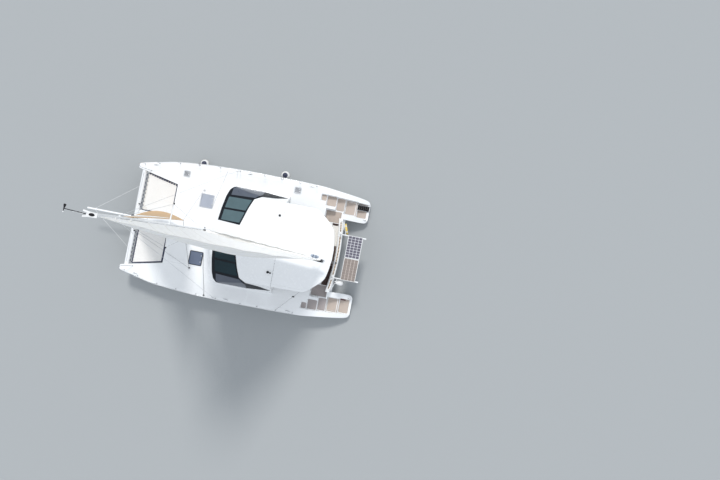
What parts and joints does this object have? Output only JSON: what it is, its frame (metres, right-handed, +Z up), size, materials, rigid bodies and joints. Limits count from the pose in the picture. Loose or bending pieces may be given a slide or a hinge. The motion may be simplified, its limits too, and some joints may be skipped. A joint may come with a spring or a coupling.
{
  "type": "sailing catamaran",
  "caption": "White cruising sailing catamaran with its mainsail and jib set, trampolines between the bows, dark wrap-round saloon windows and solar panels on stern davits.",
  "frame": {"origin": "at the waterline, amidships on the centreline", "axes": "+X forward, +Y to port, +Z up"},
  "size_m": [14.265, 7.223, 19],
  "materials": {
    "gelcoat_white": "glossy white gelcoat",
    "antifoul_blue": "matt dark blue antifouling paint",
    "spar_white": "satin white paint on aluminium",
    "steel": "polished stainless steel",
    "bronze": "cast bronze, dulled by sea water",
    "window_glass": "dark tinted glass",
    "hatch_glass": "blue-grey tinted acrylic in a dark frame",
    "sailcloth": "cream woven sailcloth with a tan edge strip on the jib",
    "netting": "off-white woven mesh laced with dark cord",
    "black_plastic": "black plastic",
    "solar_purple": "purple-grey solar cells under clear plastic",
    "solar_brown": "brown-grey solar cells under clear plastic",
    "yellow_plastic": "yellow closed foam cover",
    "white_plastic": "white vinyl and plastic",
    "teak": "oiled teak",
    "upholstery": "beige upholstery",
    "engine_metal": "grey painted engine block"
  },
  "bodies": {
    "boat": {"hull_port": "gelcoat_white", "hull_starboard": "gelcoat_white", "keel_port": "antifoul_blue", "keel_starboard": "antifoul_blue", "engine_port": "engine_metal", "engine_starboard": "engine_metal", "saildrive_port": "antifoul_blue", "saildrive_starboard": "antifoul_blue", "bowsprit_stay_port": "steel", "bowsprit_stay_starboard": "steel", "trampoline_port": "netting", "trampoline_starboard": "netting", "window_port": "window_glass", "window_starboard": "window_glass", "davit_port": "spar_white", "davit_starboard": "spar_white", "shroud_port": "steel", "shroud_starboard": "steel", "lifelines_port": "steel", "lifelines_starboard": "steel", "solar_panel_port": "solar_brown", "solar_panel_starboard": "solar_purple", "bulkhead_port": "gelcoat_white", "bulkhead_starboard": "gelcoat_white", "bridgedeck": "gelcoat_white", "catwalk": "gelcoat_white", "crossbeam": "spar_white", "bowsprit": "spar_white", "coachroof": "gelcoat_white", "bulkhead_head": "gelcoat_white", "hardtop": "gelcoat_white", "aft_bench": "gelcoat_white", "cockpit_bench": "gelcoat_white", "helm_console": "gelcoat_white", "helm_seat": "gelcoat_white", "saloon_settee": "upholstery", "galley": "white_plastic", "panel_frame": "spar_white", "mast": "spar_white", "fender_forward": "white_plastic", "fender_aft": "white_plastic", "lifebuoy": "yellow_plastic", "outboard": "white_plastic"},
    "boom": {"boom": "spar_white", "mainsail": "sailcloth"},
    "jib": {"furler": "spar_white", "jib": "sailcloth"},
    "helm_wheel": {"helm_wheel": "steel"},
    "rudder_port": {"rudder_port": "antifoul_blue"},
    "rudder_starboard": {"rudder_starboard": "antifoul_blue"},
    "propeller_port": {"propeller_port": "bronze"},
    "propeller_starboard": {"propeller_starboard": "bronze"},
    "saloon_door": {"saloon_door": "window_glass"},
    "hatch_fore_port": {"hatch_fore_port": "hatch_glass"},
    "hatch_fore_starboard": {"hatch_fore_starboard": "hatch_glass"},
    "hatch_bow_starboard": {"hatch_bow_starboard": "hatch_glass"},
    "hatch_stern_starboard": {"hatch_stern_starboard": "hatch_glass"},
    "engine_hatch_port": {"engine_hatch_port": "gelcoat_white"},
    "engine_hatch_starboard": {"engine_hatch_starboard": "gelcoat_white"},
    "swim_ladder": {"swim_ladder": "black_plastic"}
  },
  "joints": [
    {"name": "boom_swing", "type": "hinge", "parent": "boat", "child": "boom", "pos_m": [1.71, 0, 3.8], "axis": [0, 0, 1], "range_deg": [-55, 62]},
    {"name": "jib_swing", "type": "hinge", "parent": "boat", "child": "jib", "pos_m": [5.7, 0, 1.88], "axis": [-0.2639, 0, 0.9645], "range_deg": [-25, 25]},
    {"name": "helm_turn", "type": "hinge", "parent": "boat", "child": "helm_wheel", "pos_m": [-2.33, -1.15, 1.64], "axis": [1, 0, 0], "range_deg": [-360, 360]},
    {"name": "rudder_turn_port", "type": "hinge", "parent": "boat", "child": "rudder_port", "pos_m": [-5.56, 2.55, -0.3], "axis": [0, 0, 1], "range_deg": [-35, 35]},
    {"name": "rudder_turn_starboard", "type": "hinge", "parent": "boat", "child": "rudder_starboard", "pos_m": [-5.56, -2.55, -0.3], "axis": [0, 0, 1], "range_deg": [-35, 35]},
    {"name": "propeller_spin_port", "type": "hinge", "parent": "boat", "child": "propeller_port", "pos_m": [-4.396, 2.57, -0.7], "axis": [1, 0, 0], "continuous": true},
    {"name": "propeller_spin_starboard", "type": "hinge", "parent": "boat", "child": "propeller_starboard", "pos_m": [-4.396, -2.57, -0.7], "axis": [1, 0, 0], "continuous": true},
    {"name": "saloon_door_slide", "type": "slide", "parent": "boat", "child": "saloon_door", "axis": [0, 1, 0], "range_m": [-0.94, 0]},
    {"name": "hatch_fore_hinge_port", "type": "hinge", "parent": "boat", "child": "hatch_fore_port", "pos_m": [2.6, 1.4875, 1.5203], "axis": [0, 1, 0], "range_deg": [0, 85]},
    {"name": "hatch_fore_hinge_starboard", "type": "hinge", "parent": "boat", "child": "hatch_fore_starboard", "pos_m": [2.6, -1.4875, 1.5203], "axis": [0, 1, 0], "range_deg": [0, 85]},
    {"name": "hatch_bow_hinge", "type": "hinge", "parent": "boat", "child": "hatch_bow_starboard", "pos_m": [3.69, -2.665, 1.5366], "axis": [0, 1, 0], "range_deg": [0, 85]},
    {"name": "hatch_stern_hinge", "type": "hinge", "parent": "boat", "child": "hatch_stern_starboard", "pos_m": [-2.01, -2.9175, 1.4511], "axis": [0, 1, 0], "range_deg": [0, 85]},
    {"name": "engine_hatch_hinge_port", "type": "hinge", "parent": "boat", "child": "engine_hatch_port", "pos_m": [-4.75, 2.55, 0.5803], "axis": [0, 1, 0], "range_deg": [0, 80]},
    {"name": "engine_hatch_hinge_starboard", "type": "hinge", "parent": "boat", "child": "engine_hatch_starboard", "pos_m": [-4.75, -2.55, 0.5803], "axis": [0, 1, 0], "range_deg": [0, 80]},
    {"name": "ladder_hinge", "type": "hinge", "parent": "boat", "child": "swim_ladder", "pos_m": [-6.032, -2.7, 0.362], "axis": [0, 1, 0], "range_deg": [-243, 0]}
  ],
  "couplings": [
    {"joint": "rudder_turn_port", "follows": "helm_turn", "ratio": 0.09722},
    {"joint": "rudder_turn_starboard", "follows": "helm_turn", "ratio": 0.09722}
  ]
}
